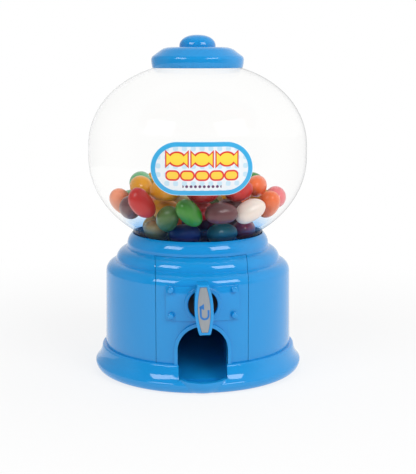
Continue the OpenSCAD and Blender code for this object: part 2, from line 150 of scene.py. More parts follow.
class Paint:
    """A material under construction."""

    def __init__(self, name):
        self.material = bpy.data.materials.new(name)
        self.material.use_nodes = True
        self.tree = self.material.node_tree
        self.tree.nodes.clear()

    def node(self, kind, settings=None, ramp=None, **values):
        """Adds a node: its settings and ramp stops first, then the values or links of its sockets."""
        made = self.tree.nodes.new("ShaderNode" + kind)
        for key, value in (settings or {}).items():
            setattr(made, key, value)
        if ramp:
            stops = made.color_ramp.elements
            while len(stops) < len(ramp):
                stops.new(0.5)
            for stop, (position, colour) in zip(stops, ramp):
                stop.position = position
                stop.color = colour
        for key, value in values.items():
            link(self.tree, value, made.inputs[key.replace("_", " ")])
        return made

    def value(self, kind, output=0, settings=None, ramp=None, **values):
        return Value(self.tree, self.node(kind, settings, ramp, **values).outputs[output])

    def place(self, scale=1.0):
        """Object coordinates, multiplied by scale."""
        spot = self.node("TexCoord").outputs["Object"]
        node = self.node("Mapping", Vector=spot)
        node.inputs["Scale"].default_value = (scale, scale, scale)
        return node.outputs["Vector"]

    def noise(self, size, detail=2.0, rough=0.5):
        """Noise from 0 to 1 whose blotches are about size millimetres."""
        return self.value("TexNoise", "Fac", Vector=self.place(1.0 / (size * MM)), Scale=1.0, Detail=detail,
                          Roughness=rough)

    def mix(self, factor, first, second):
        """A colour between two colours."""
        made = self.tree.nodes.new("ShaderNodeMix")
        made.data_type = "RGBA"
        link(self.tree, factor, made.inputs[0])
        link(self.tree, first, made.inputs[6])
        link(self.tree, second, made.inputs[7])
        return made.outputs[2]

    def blend(self, factor, first, second):
        """A surface between two surfaces."""
        made = self.tree.nodes.new("ShaderNodeMixShader")
        for value, slot in zip((factor, first, second), made.inputs):
            link(self.tree, value, slot)
        return made.outputs[0]

    def bump(self, height, depth, strength=1.0):
        """Normal from a height between 0 and 1 that stands for depth millimetres."""
        return self.node("Bump", Height=height, Distance=depth * MM, Strength=strength).outputs["Normal"]

    def shader(self, surface):
        out = self.node("OutputMaterial")
        self.tree.links.new(surface, out.inputs["Surface"])
        return self.material

    def principled(self, **values):
        return self.shader(self.node("BsdfPrincipled", **values).outputs["BSDF"])


def srgb(red, green, blue):
    """A display colour, 0 to 255, as linear RGBA."""
    shown = [c / 255 for c in (red, green, blue)]
    linear = [c / 12.92 if c <= 0.04045 else ((c + 0.055) / 1.055) ** 2.4 for c in shown]
    return (*linear, 1.0)


# ---------------------------------------------------------------- materials

BLUE = (0.008, 0.295, 0.70, 1.0)
BLUE_DEEP = (0.006, 0.268, 0.66, 1.0)


def blue_plastic():
    """Glossy moulded plastic: a faint flow variation in the colour and a slight orange peel."""
    p = Paint("blue_plastic")
    flow = p.noise(22, 3)
    peel = p.noise(1.1, 2)
    handling = p.noise(6, 4, 0.6)
    return p.principled(
        Base_Color=p.mix(flow, BLUE_DEEP, BLUE),
        Roughness=0.02 + handling * 0.06,
        Normal=p.bump(peel, 0.008, 0.3),
        IOR=1.52,
    )


def dark_plastic():
    """Satin dark plastic of the hidden drive."""
    p = Paint("dark_plastic")
    grain = p.noise(0.35, 3)
    return p.principled(
        Base_Color=p.mix(p.noise(9, 2), srgb(14, 17, 24), srgb(24, 28, 36)),
        Roughness=0.42 + grain * 0.2,
        Normal=p.bump(grain, 0.02, 0.3),
    )


def screw_steel():
    """Zinc-plated steel with fine turning marks."""
    p = Paint("screw_steel")
    streak = p.noise(0.25, 4, 0.7)
    return p.principled(
        Base_Color=p.mix(streak, srgb(150, 152, 156), srgb(196, 198, 202)),
        Metallic=1.0,
        Roughness=0.24 + streak * 0.22,
    )


def badge_ink():
    p = Paint("badge_ink")
    worn = p.noise(0.5, 3)
    return p.principled(Base_Color=p.mix(worn, srgb(24, 100, 176), srgb(36, 122, 196)), Roughness=0.4)


def label_print():
    """Printed film: a blue border, an off-white field with pale dots, and two rows of sweets."""
    p = Paint("label_print")
    flat = p.node("UVMap", {"uv_map": "flat"}).outputs[0]
    split = p.node("SeparateXYZ", Vector=flat).outputs
    x, y = Value(p.tree, split[0]), Value(p.tree, split[1])
    ends = (abs(x) - (LABEL_HALF_W - LABEL_HALF_H)).most(0.0)
    edge = LABEL_HALF_H - (ends * ends + y * y).root()

    def cell(value, pitch, shift=0.0):
        """Distance from the middle of the cell that the value lies in."""
        part = value / pitch + shift
        return (part - part.floor() - 0.5) * pitch

    dx, dy = cell(x, 3.1, 0.5), cell(y, 3.1, 0.2)
    dots = (abs(dx) ** 3.0 + abs(dy) ** 3.0).below(0.7, 0.35)
    field = p.mix(dots * 0.7, srgb(233, 238, 243), srgb(178, 218, 238))

    # upper row: three wrapped sweets
    cx, cy = cell(x, 8.8, 0.5), y - 3.45
    body = (cx * cx / 6.6 + cy * cy / 4.6).root()
    wing = abs(cy) - (abs(cx) - 1.3) * 0.95
    tail = wing.below(0.0, 0.12) * (1.0 - abs(cx).below(2.0, 0.1)) * abs(cx).below(3.7, 0.1)
    tail_out = wing.below(0.55, 0.12) * (1.0 - abs(cx).below(1.8, 0.1)) * abs(cx).below(4.15, 0.1)
    inside = abs(x).below(13.1, 0.05)
    sweet = body.below(1.0, 0.05).most(tail) * inside
    outline = body.below(1.27, 0.05).most(tail_out) * inside

    # lower row: five beans
    bx, by = cell(x, 5.2, 0.5), y + 2.35
    pill = ((abs(bx) - 0.75).most(0.0) ** 2.0 + by * by).root()
    row = abs(x).below(12.9, 0.05)
    sweet = sweet.most(pill.below(1.3, 0.07) * row)
    outline = outline.most(pill.below(1.9, 0.07) * row)

    warm = y * 0.07 + 0.5
    fill = p.mix(warm, srgb(247, 196, 50), srgb(252, 226, 80))
    tone = p.mix(outline, field, srgb(222, 34, 34))
    tone = p.mix(sweet, tone, fill)

    # bottom row: small purple dots
    sx, sy = cell(x, 1.55, 0.0), y + 6.3
    small = (sx * sx + sy * sy).root().below(0.52, 0.1) * abs(x).below(6.9, 0.05)
    tone = p.mix(small, tone, srgb(92, 44, 96))

    tone = p.mix(edge.below(1.75, 0.08), tone, srgb(54, 172, 226))
    tone = p.mix(edge.below(0.16, 0.05), tone, srgb(206, 232, 244))
    sheen = p.noise(3.5, 3)
    return p.principled(
        Base_Color=tone,
        Roughness=0.24 + sheen * 0.12,
        Normal=p.bump(p.noise(2.0), 0.02, 0.3),
        Coat_Weight=0.3,
        Coat_Roughness=0.1,
    )


def silver_badge():
    """Satin silver foil with a fine brushed grain along its height."""
    p = Paint("silver_badge")
    spot = p.node("TexCoord").outputs["Object"]
    stretched = p.node("Mapping", Vector=spot)
    stretched.inputs["Scale"].default_value = (9000.0, 9000.0, 320.0)
    grain = p.value("TexNoise", "Fac", Vector=stretched.outputs["Vector"], Scale=1.0, Detail=3.0)
    return p.principled(
        Base_Color=p.mix(grain, srgb(140, 146, 152), srgb(166, 171, 176)),
        Metallic=0.35,
        Roughness=0.34 + grain * 0.16,
        Normal=p.bump(grain, 0.006, 0.4),
    )


def clear_plastic():
    """Clear plastic: what is behind it shows through.

    Its outer wall mirrors, and a painted shade darkens it towards the rim, more so on the right; its thick
    lower neck takes a painted blue tint that stands in for light from the ring around it.
    """
    p = Paint("clear_plastic")
    rim = p.value("LayerWeight", "Facing", Blend=0.5)
    outer = p.value("Attribute", "Fac", {"attribute_name": "outer"})
    spot = p.node("SeparateXYZ", Vector=p.node("TexCoord").outputs["Object"]).outputs
    x, z = Value(p.tree, spot[0]), Value(p.tree, spot[2])
    # painted blue tint on the thick lower neck, standing in for light from the blue ring around it
    painted_ring_blue = z.below(0.0575, 0.0035)
    haze = p.noise(14, 3)
    mirror = (0.010 + rim ** 5.0 * 0.42) * (0.35 + outer * 0.65)
    tint = p.mix(painted_ring_blue * 0.6, (1.0, 1.0, 0.998, 1.0), (0.2, 0.6, 1.0, 1.0))
    through = p.node("BsdfTransparent", Color=tint).outputs[0]
    gloss = p.node("BsdfGlossy", Color=(1, 1, 1, 1), Roughness=0.02 + haze * 0.03).outputs[0]
    # painted shade: a dark edge on the outer wall's rim, darker on the right side
    right = 1.0 - x.below(0.008, 0.03)
    painted_rim_shade = p.mix(right, (0.62, 0.64, 0.66, 1.0), (0.16, 0.17, 0.18, 1.0))
    painted_rim_shade_surface = p.node("BsdfDiffuse", Color=painted_rim_shade).outputs[0]
    with_painted_rim_shade = p.blend(rim ** 13.0 * outer * 0.9, through, painted_rim_shade_surface)
    return p.shader(p.blend(mirror, with_painted_rim_shade, gloss))


CANDY_COLOURS = {
    "red": (186, 18, 14),
    "orange": (228, 104, 44),
    "yellow": (214, 146, 4),
    "peach": (228, 140, 104),
    "mint": (96, 166, 112),
    "green": (48, 130, 26),
    "olive": (64, 100, 40),
    "brown": (96, 50, 54),
    "white": (232, 218, 208),
    "navy": (24, 34, 100),
    "teal": (28, 104, 110),
    "maroon": (130, 24, 60),
    "tan": (184, 158, 96),
    "pink": (222, 112, 116),
}


def candy_shell(name, colour):
    """Polished sugar shell: mottled colour, a soft depth and a clear glaze."""
    p = Paint("candy_" + name)
    full = srgb(*colour)
    pale = tuple(min(1.0, c * 1.15 + 0.006) for c in full[:3]) + (1.0,)
    mottle = p.noise(2.6, 4, 0.6)
    dimple = p.noise(1.3, 2)
    return p.principled(
        Base_Color=p.mix(mottle, full, pale),
        Roughness=0.34 + mottle * 0.14,
        Normal=p.bump(dimple, 0.04, 0.35),
        Specular_IOR_Level=0.35,
        Coat_Weight=0.45,
        Coat_Roughness=0.05,
        Subsurface_Weight=0.08,
        Subsurface_Radius=(0.002, 0.001, 0.0008),
        Subsurface_Scale=0.5,
    )


BLUE_PLASTIC = blue_plastic()
DARK_PLASTIC = dark_plastic()
STEEL = screw_steel()
SILVER = silver_badge()
INK = badge_ink()
PRINT = label_print()
CLEAR = clear_plastic()
CANDY = {name: candy_shell(name, colour) for name, colour in CANDY_COLOURS.items()}
FINISHES = {
    "blue_plastic": BLUE_PLASTIC,
    "inner_plastic": DARK_PLASTIC,
    "screw_steel": STEEL,
    "silver_badge": SILVER,
    "clear_plastic": CLEAR,
    "label_film": PRINT,
}
FINISHES.update({"candy_" + name: material for name, material in CANDY.items()})


# ---------------------------------------------------------------- modelling helpers


def only(obj):
    """Makes obj the one selected and active object."""
    bpy.ops.object.select_all(action="DESELECT")
    obj.select_set(True)
    bpy.context.view_layer.objects.active = obj
    return obj


def named(name):
    """Names the object just made and moves its place into its mesh."""
    obj = only(bpy.context.object)
    obj.name = name
    obj.data.name = name
    bpy.ops.object.transform_apply(location=True, rotation=True, scale=True)
    return obj


def arc(x, z, r, start, end, steps=12):
    """Points along an arc in the (radius, height) plane, in degrees."""
    turns = [math.radians(start + (end - start) * i / steps) for i in range(steps + 1)]
    return [(x + r * math.cos(t), z + r * math.sin(t)) for t in turns]


def oval(z, a, b, start, end, steps=40):
    """Points along an ellipse centred on the axis."""
    turns = [math.radians(start + (end - start) * i / steps) for i in range(steps + 1)]
    return [(a * math.cos(t), z + b * math.sin(t)) for t in turns]


def full_oval(z, a, b, power, start, end, steps=40):
    """Points along an oval squarer than an ellipse, whose power is 2, in its upper right quarter."""
    turns = [math.radians(start + (end - start) * i / steps) for i in range(steps + 1)]
    bend = 2 / power
    return [(a * max(math.cos(t), 0) ** bend, z + b * max(math.sin(t), 0) ** bend) for t in turns]


POLE_R = 0.004           # radius of the last tiny ring at a pole


def turned(name, outline, sides=128):
    """Turns a closed outline of (radius, height) points round Z, ring after ring.

    A radius of 0 closes at a pole.
    """
    bpy.ops.object.select_all(action="DESELECT")
    outline = [(max(r, POLE_R), z) for r, z in outline]
    radius, height = outline[0]
    at_pole = [r == POLE_R for r, z in outline]
    cap = "NGON" if at_pole[0] else "NOTHING"
    bpy.ops.mesh.primitive_circle_add(vertices=sides, radius=radius * MM, location=(0, 0, height * MM),
                                      fill_type=cap)
    obj = named(name)
    bpy.ops.object.mode_set(mode="EDIT")
    bpy.ops.mesh.select_all(action="SELECT")
    if cap == "NGON":
        bpy.ops.mesh.delete(type="ONLY_FACE")
        bpy.ops.mesh.select_all(action="SELECT")
    back_to_start = [] if at_pole[0] or at_pole[-1] else outline[:1]
    for next_radius, next_height in outline[1:] + back_to_start:
        rise = (next_height - height) * MM
        bpy.ops.mesh.extrude_region_move(TRANSFORM_OT_translate={"value": (0, 0, rise)})
        scale = next_radius / radius
        bpy.ops.transform.resize(value=(scale, scale, 1), center_override=(0, 0, 0))
        radius, height = next_radius, next_height
    bpy.ops.mesh.select_all(action="SELECT")
    bpy.ops.mesh.remove_doubles(threshold=0.00001)
    bpy.ops.mesh.normals_make_consistent(inside=False)
    bpy.ops.object.mode_set(mode="OBJECT")
    return obj


def bar(name, radius, start, end, sides=64):
    """A round bar between two points in millimetres."""
    start, end = Vector(start), Vector(end)
    bpy.ops.mesh.primitive_cylinder_add(vertices=sides, radius=radius * MM, depth=(end - start).length * MM,
                                        location=(start + end) / 2 * MM,
                                        rotation=(end - start).to_track_quat("Z", "Y").to_euler())
    return named(name)


def block(name, low, high):
    """A box between two corners in millimetres."""
    low, high = Vector(low), Vector(high)
    bpy.ops.mesh.primitive_cube_add(size=1, location=(low + high) / 2 * MM, scale=(high - low) * MM)
    return named(name)


def merge(obj, *others):
    """Joins others into obj."""
    only(obj)
    for other in others:
        other.select_set(True)
    bpy.ops.object.join()
    return obj


def carve(obj, tool, operation="DIFFERENCE"):
    """Cuts, adds or keeps the tool's volume, and removes the tool."""
    only(obj)
    cut = obj.modifiers.new("cut", "BOOLEAN")
    cut.object = tool
    cut.operation = operation
    cut.solver = "EXACT"
    bpy.ops.object.modifier_apply(modifier="cut")
    bpy.data.objects.remove(tool)
    return obj


def slice_off(obj, point, normal):
    """Removes what lies on the normal's side of a plane and closes the cut."""
    only(obj)
    bpy.ops.object.mode_set(mode="EDIT")
    bpy.ops.mesh.select_all(action="SELECT")
    bpy.ops.mesh.bisect(plane_co=Vector(point) * MM, plane_no=normal, use_fill=True, clear_outer=True,
                        threshold=0.000001)
    bpy.ops.object.mode_set(mode="OBJECT")
    return obj


def soften(obj, width, angle=35, segments=3):
    """Rounds every edge sharper than angle by width millimetres."""
    only(obj)
    edge = obj.modifiers.new("edge", "BEVEL")
    edge.width = width * MM
    edge.segments = segments
    edge.limit_method = "ANGLE"
    edge.angle_limit = math.radians(angle)
    edge.use_clamp_overlap = True
    edge.harden_normals = False
    bpy.ops.object.modifier_apply(modifier="edge")
    return obj


def smooth(obj, angle=40):
    only(obj)
    bpy.ops.object.shade_smooth_by_angle(angle=math.radians(angle))
    return obj


def finished(obj, finish, body, slot, *nodes):
    """Gives a piece its finish, hangs it on its body and lets it stand for its CAD nodes."""
    obj.data.materials.clear()
    obj.data.materials.append(finish)
    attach(obj, body)
    if nodes:
        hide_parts(*nodes)
    return obj


# ---------------------------------------------------------------- base

AXIS_Z = (GRIP_LOW.z + GRIP_HIGH.z) / 2
JOINT_Z = PANEL_LOW.z    # where the foot meets the wall
RING_TOP = BODY_HIGH.z
WALL_LOW = BODY_HIGH.x   # radius of the wall at the foot
SHELL = 1.8              # wall thickness
WALL_IN = WALL_LOW - SHELL
WALL_MID = 34.8          # a radius within the wall, where what stands on it begins
STEP = arc(WALL_LOW - 4.85, 39.5, 4.4, 0, 76, 16)
MIDDLE = arc(WALL_LOW - 9.45, 44, 5, 0, 80, 16)
RING = arc(21.8, 49.9, 6.1, -6, 50, 20)
INSIDE = [(29.3, 45.2), (30.5, 41.6), (34.4, 38.9), (WALL_IN, JOINT_Z)]
RING_SIDES = 180         # sides of a full turn of the base

NECK_BORE = 25.35        # bore that takes the globe's neck
SHELF_IN = 20.85         # shelf under the hopper: its bore, underside and top
SHELF_LOW = 46
SHELF_TOP = 48
PLATE_T = 2              # base plate
POST_AT = 31.5           # screw posts inside the housing
POST_R = 3
POST_TOP = 39.6
PILOT_R = 1.2

PANEL_HALF = 17.1        # half width of the front panel, and the gap at its seams
SEAM = 0.15
PANEL_TOP = 49
PANEL_BACK = 27.55       # the panel's top edge reaches in to here, under the ring
RAISED_HALF = 13.5       # raised plate on the panel
RAISED_R = 37.05
BUMP_X = 11.7
BUMP_HEIGHTS = (29, 38.65)
HOLE = 5.4               # round hole for the handle's shaft, and the collar round it
COLLAR = 6.8
ARCH_R = 9.3             # doorway of the outlet, and the border round it
ARCH_Z = 15.9
BORDER = 1.3
BORDER_R = 37.35
FLANGE_R = (33, 34.35)   # flanges behind the seams
FLANGE_TOP = 38
FLANGE_HALF = (14.2, 20.3)
OUT = 60                 # further out than the whole machine
FRONT = -20              # the panel lies in front of this plane


def arch_tool(grow):
    """The outlet's doorway shape, as deep as the wall."""
    half = ARCH_R + grow
    door = bar("door", half, (0, FRONT, ARCH_Z), (0, -OUT, ARCH_Z), 96)
    return carve(door, block("door_low", (-half, -OUT, -1), (half, FRONT, ARCH_Z)), "UNION")


def front_part(shape, half):
    """Keeps the front of a round shape, half wide to each side."""
    slice_off(shape, (0, FRONT, 0), (0, 1, 0))
    slice_off(shape, (half, 0, 0), (1, 0, 0))
    return slice_off(shape, (-half, 0, 0), (-1, 0, 0))


def housing():
    """Stepped round wall with the convex ring on top, a window for the panel, and screw posts inside."""
    shelf = [(NECK_BORE, SHELF_TOP), (SHELF_IN, SHELF_TOP), (SHELF_IN, SHELF_LOW), (26.7, SHELF_LOW)]
    outline = ([(WALL_LOW, JOINT_Z)] + STEP + MIDDLE + RING +
               arc(NECK_BORE + 0.4, RING_TOP - 0.4, 0.4, 60, 180, 5) + shelf + INSIDE)
    wall = turned("housing_wall", outline, RING_SIDES)
    half = PANEL_HALF + SEAM
    window = block("window", (-half, -OUT, JOINT_Z - 1), (half, FRONT, PANEL_TOP + SEAM))
    carve(window, bar("ring_core", PANEL_BACK, (0, 0, 42.9), (0, 0, 62), 96))
    carve(wall, window)
    soften(wall, 0.12)
    posts = []
    for turn in (45, 135, 225, 315):
        spot = Vector((POST_AT * math.cos(math.radians(turn)), POST_AT * math.sin(math.radians(turn)), 0))
        post = bar("post", POST_R, spot + Vector((0, 0, PLATE_T)), spot + Vector((0, 0, POST_TOP)), 32)
        posts.append(carve(post, bar("core", PILOT_R, spot, spot + Vector((0, 0, 14)), 24)))
    merge(wall, *posts)
    finished(smooth(wall), BLUE_PLASTIC, "root", "blue_plastic", "body_housing")


def plate_bump(x, z):
    """One small round bump on the raised plate."""
    return soften(bar("bump", 1.2, (x, -34.9, z), (x, -36.7, z), 40), 0.55, 35, 5)


def panel():
    """Stepped front panel between two seams, with the raised plate, bumps, collar and doorway border."""
    top = [(PANEL_BACK + 0.55, PANEL_TOP), (PANEL_BACK, PANEL_TOP), (PANEL_BACK, 47.1)]
    outline = [(WALL_LOW, JOINT_Z)] + STEP + MIDDLE + top + INSIDE
    front = front_part(turned("panel_front", outline, RING_SIDES), PANEL_HALF)

    outline = [(WALL_MID, 27.2), (RAISED_R, 27.2), (RAISED_R, 40), (WALL_MID, 40)]
    plate = front_part(turned("plate", outline, RING_SIDES), RAISED_HALF)

    outline = [(WALL_MID, JOINT_Z), (BORDER_R, JOINT_Z), (BORDER_R, 28), (WALL_MID, 28)]
    border = turned("border", outline, RING_SIDES)
    carve(border, arch_tool(BORDER), "INTERSECT")

    collar = bar("collar", COLLAR, (0, -34.6, AXIS_Z), (0, -37.5, AXIS_Z), 96)
    for shape in (front, plate, border, collar):
        if shape is not border:
            carve(shape, bar("hole", HOLE, (0, -OUT, AXIS_Z), (0, FRONT, AXIS_Z), 96))
        if shape is not collar:
            carve(shape, arch_tool(0))
    soften(front, 0.14)
    soften(plate, 0.18)
    soften(border, 0.3)
    soften(collar, 0.3)
    bumps = [plate_bump(x, z) for x in (-BUMP_X, BUMP_X) for z in BUMP_HEIGHTS]

    # flanges that overlap the housing's wall behind each seam
    inner, outer = FLANGE_R
    outline = [(inner, JOINT_Z + 1), (outer, JOINT_Z + 1), (outer, FLANGE_TOP), (inner, FLANGE_TOP)]
    near, far = FLANGE_HALF
    flange = front_part(turned("flange", outline, RING_SIDES), far)
    carve(flange, block("flange_gap", (-near, -OUT, 0), (near, 0, OUT)))
    merge(front, plate, border, collar, flange, *bumps)
    finished(smooth(front), BLUE_PLASTIC, "root", "blue_plastic", "front_panel")


SEAT_R = 37.2            # recess that takes the base plate
LEDGE_R = 36.3           # bore above the base plate
TRAY_Y = -30.4           # centre of the tray's bowl, its radius and the radius of its hollow
TRAY_R = 12
TRAY_IN = 10.8
TRAY_HALF = 9            # half width between the tray's sides
TRAY_BACK = -31
TRAY_FLOOR = 2.2
RIM = Vector((0, TRAY_Y - TRAY_R, 5))
RIM_FALL = math.radians(8)


def bowl(name, radius, floor, curve):
    """A round bowl, filled to above the foot, with a rounded floor."""
    shape = turned(name, [(0, floor)] + arc(radius - curve, floor + curve, curve, -90, 0, 10) +
                   [(radius, 16), (0, 16)], 96)
    only(shape)
    bpy.ops.transform.translate(value=(0, TRAY_Y * MM, 0))
    bpy.ops.object.transform_apply(location=True)
    return shape


def foot():
    """Flared foot with the scoop-like tray under the doorway."""
    wide = FOOT_HIGH.x
    shoulder = arc(WALL_LOW + 0.45, JOINT_Z - 1, 1, 90, 10, 8)
    flare = [(WALL_LOW + 1.7, JOINT_Z - 2.3), (WALL_LOW + 2.2, JOINT_Z - 3.7),
             (wide - 1.3, 5.6), (wide - 0.7, 4.9)]
    edge = arc(wide - 1.1, 3.6, 1.1, 45, 0, 6) + arc(wide - 3.7, 3.7, 3.7, -5, -84, 16)
    inside = [(SEAT_R, 0), (SEAT_R, PLATE_T), (LEDGE_R, PLATE_T), (LEDGE_R, JOINT_Z - 3),
              (WALL_IN, JOINT_Z - 1.5), (WALL_IN, JOINT_Z)]
    skirt = turned("foot_skirt", shoulder + flare + edge + inside, RING_SIDES)
    up = Vector((0, -math.sin(RIM_FALL), math.cos(RIM_FALL)))

    tray = bowl("tray", TRAY_R, 0, 5)
    slice_off(tray, RIM, up)
    slice_off(tray, (0, TRAY_BACK, 0), (0, 1, 0))
    carve(skirt, tray, "UNION")
    for side in (-1, 1):
        inner, outer = sorted((side * (TRAY_HALF - 0.5), side * (TRAY_HALF + 1.4)))
        carve(skirt, block("cheek", (inner, -36, 1), (outer, TRAY_BACK, JOINT_Z - 0.9)), "UNION")
    # the tray's hollow and the way in above its rim, as one cut between the tray's sides
    way_in = block("way_in", (-2 * TRAY_R, -OUT, 1), (2 * TRAY_R, 0, 20))
    slice_off(way_in, RIM, -up)
    carve(way_in, bowl("hollow", TRAY_IN, TRAY_FLOOR, 4), "UNION")
    slice_off(way_in, (TRAY_HALF, 0, 0), (1, 0, 0))
    slice_off(way_in, (-TRAY_HALF, 0, 0), (-1, 0, 0))
    slice_off(way_in, (0, TRAY_BACK + 0.5, 0), (0, 1, 0))
    carve(skirt, way_in)
    soften(skirt, 0.22)
    finished(smooth(skirt), BLUE_PLASTIC, "root", "blue_plastic", "foot_base")


# ---------------------------------------------------------------- handle


def barrel(name, width, height, end_width, depth, place):
    """A barrel outline, flat at both ends and bowed at both sides, drawn forwards (-Y) by depth."""
    side = (width - end_width) / 2
    radius = (height * height / 4 + side * side) / (2 * side)
    bpy.ops.mesh.primitive_grid_add(x_subdivisions=2, y_subdivisions=32, size=2)
    obj = named(name)
    for vertex in obj.data.vertices:
        up = vertex.co.y * height / 2
        half = width / 2 - radius + math.sqrt(radius * radius - up * up)
        vertex.co = Vector((vertex.co.x * half, place, up)) * MM
    bpy.ops.object.mode_set(mode="EDIT")
    bpy.ops.mesh.select_all(action="SELECT")
    bpy.ops.mesh.extrude_region_move(TRANSFORM_OT_translate={"value": (0, -depth * MM, 0)})
    bpy.ops.mesh.select_all(action="SELECT")
    bpy.ops.mesh.normals_make_consistent(inside=False)
    bpy.ops.object.mode_set(mode="OBJECT")
    return obj


LEAN = math.radians(2)


def lean(obj):
    """Turns a handle piece by its lean at rest, top to the left, and lifts it to the handle's axis."""
    only(obj)
    bpy.ops.transform.rotate(value=LEAN, orient_axis="Y", center_override=(0, 0, 0))
    bpy.ops.transform.translate(value=(0, 0, AXIS_Z * MM))
    bpy.ops.object.transform_apply(location=True, rotation=True)
    return obj


GRIP_BACK = -38.3        # the grip spans from here to its face
GRIP_DEPTH = 7.7
GRIP_H = 18.4
SHAFT_R = 2.8
BADGE_BACK = -45.65      # floor of the recess that holds the badge
BADGE_T = 0.3
ARROW_IN = 1.05          # inner and outer radius of the arrow's hook
ARROW_OUT = 1.75
ARROW_Y = -45.97         # just in front of the badge's face


def handle():
    """Barrel-shaped grip on its shaft, with a badge in its recess."""
    grip = barrel("grip", 6.8, GRIP_H, 4, GRIP_DEPTH, GRIP_BACK)
    carve(grip, barrel("recess", 4.6, 16.6, 2.3, 1.35, BADGE_BACK))
    soften(grip, 0.45, 40, 4)
    shaft = soften(bar("shaft", SHAFT_R, (0, GRIP_BACK - 0.3, 0), (0, -11, 0), 48), 0.2)
    merge(grip, shaft)
    lean(grip)
    finished(smooth(grip), BLUE_PLASTIC, "drive", "blue_plastic", "turn_handle")

    badge = barrel("badge", 4.5, 16.5, 2.2, BADGE_T, BADGE_BACK)
    soften(badge, 0.08, 40, 2)
    lean(badge)
    finished(smooth(badge), SILVER, "drive", "silver_badge", "handle_badge")


def turn_arrow():
    """Printed on the badge: an open hook that ends in an arrowhead at its upper left."""
    bpy.ops.mesh.primitive_plane_add(size=1)
    hook = named("turn_arrow")
    right_arm = ((ARROW_IN, 1.9), (ARROW_OUT, 1.9), (ARROW_IN, 0.0), (ARROW_OUT, 0.0))
    for vertex, (x, z) in zip(hook.data.vertices, right_arm):
        vertex.co = Vector((x, 0, z)) * MM
    bpy.ops.object.mode_set(mode="EDIT")
    bpy.ops.mesh.select_all(action="DESELECT")
    bpy.ops.object.mode_set(mode="OBJECT")
    for edge in hook.data.edges:
        edge.select = all(abs(hook.data.vertices[v].co.z) < 1e-6 for v in edge.vertices)
    for vertex in hook.data.vertices:
        vertex.select = abs(vertex.co.z) < 1e-6
    bpy.ops.object.mode_set(mode="EDIT")
    bpy.ops.mesh.select_mode(type="EDGE")
    bpy.ops.mesh.spin(steps=20, angle=-math.pi, center=(0, 0, 0), axis=(0, 1, 0))
    bpy.ops.mesh.extrude_region_move(TRANSFORM_OT_translate={"value": (0, 0, 2.9 * MM)})
    bpy.ops.object.mode_set(mode="OBJECT")
    bpy.ops.mesh.primitive_circle_add(vertices=3, radius=1.3 * MM, fill_type="NGON",
                                      rotation=(math.pi / 2, math.radians(29), 0),
                                      location=(-0.76 * MM, 0, 3.1 * MM))
    merge(hook, named("arrow_head"))
    only(hook)
    bpy.ops.object.mode_set(mode="EDIT")
    bpy.ops.mesh.select_all(action="SELECT")
    bpy.ops.transform.translate(value=(0.12 * MM, ARROW_Y * MM, -1.9 * MM))
    bpy.ops.mesh.select_all(action="SELECT")
    bpy.ops.mesh.normals_make_consistent(inside=False)
    bpy.ops.object.mode_set(mode="OBJECT")
    only(hook)
    ink = hook.modifiers.new("ink", "SOLIDIFY")
    ink.thickness = 0.02 * MM
    bpy.ops.object.modifier_apply(modifier="ink")
    lean(hook)
    finished(hook, INK, "drive", "silver_badge")


# ---------------------------------------------------------------- globe and label

GLOBE_R = GLOBE_HIGH.x
GLOBE_MID = 86           # middle of the upright band at the globe's widest
BAND = 2                 # half height of that band
NECK_LOW = 25.2          # radii of the two necks
NECK_TOP = 15.9
WALL = 1.3               # thickness of the globe
DOME = 32.8              # height of the full oval above the band
DOME_POWER = 2.1
BELLY = 35               # depth of the full ellipse below the band


def globe_side(inset, top, low):
    """The globe's outline, moved in by inset, between its two necks."""
    a = GLOBE_R - inset
    start = math.degrees(math.acos((top / a) ** (DOME_POWER / 2)))
    return (full_oval(GLOBE_MID + BAND, a, DOME - inset, DOME_POWER, start, 0, 48) +
            oval(GLOBE_MID - BAND, a, BELLY - inset, 0, -math.degrees(math.acos(low / a)), 48))


def globe():
    """One blown shell with a filling neck above and a lower neck with three lugs."""
    top = GLOBE_HIGH.z
    outline = (arc(NECK_TOP - 0.6, top - 0.6, 0.6, 90, 0, 6) + globe_side(0, NECK_TOP, NECK_LOW) +
               [(NECK_LOW, 49.7), (NECK_LOW - 0.2, 49.5), (NECK_LOW - 1.5, 49.5)] +
               globe_side(WALL, NECK_TOP - 1.35, NECK_LOW - 1.5)[::-1] + [(NECK_TOP - 1.35, top)])
    shell = turned("globe_shell", outline, 192)
    outer = shell.data.attributes.new("outer", "FLOAT", "POINT")
    for vertex in shell.data.vertices:
        away = vertex.co - Vector((0, 0, GLOBE_MID)) * MM
        outer.data[vertex.index].value = 1.0 if vertex.normal.dot(away) > 0 else 0.0
    lugs = []
    for turn in (30, 150, 270):
        lug = block("lug", (24.6, -5.8, 50.35), (26.1, 5.8, 51.85))
        only(lug)
        bpy.ops.transform.rotate(value=-math.radians(turn), orient_axis="Z", center_override=(0, 0, 0))
        bpy.ops.object.transform_apply(location=True, rotation=True)
        lugs.append(soften(lug, 0.3))
    merge(shell, *lugs)
    finished(smooth(shell, 30), CLEAR, "root", "clear_plastic", "globe")


def globe_radius(z):
    """The globe's outer radius at a height."""
    over = z - (GLOBE_MID + BAND)
    under = (GLOBE_MID - BAND) - z
    if over > 0:
        return GLOBE_R * (1 - (over / DOME) ** DOME_POWER) ** (1 / DOME_POWER)
    if under > 0:
        return GLOBE_R * math.sqrt(1 - (under / BELLY) ** 2)
    return GLOBE_R


LABEL_TURN = math.radians(-0.7)


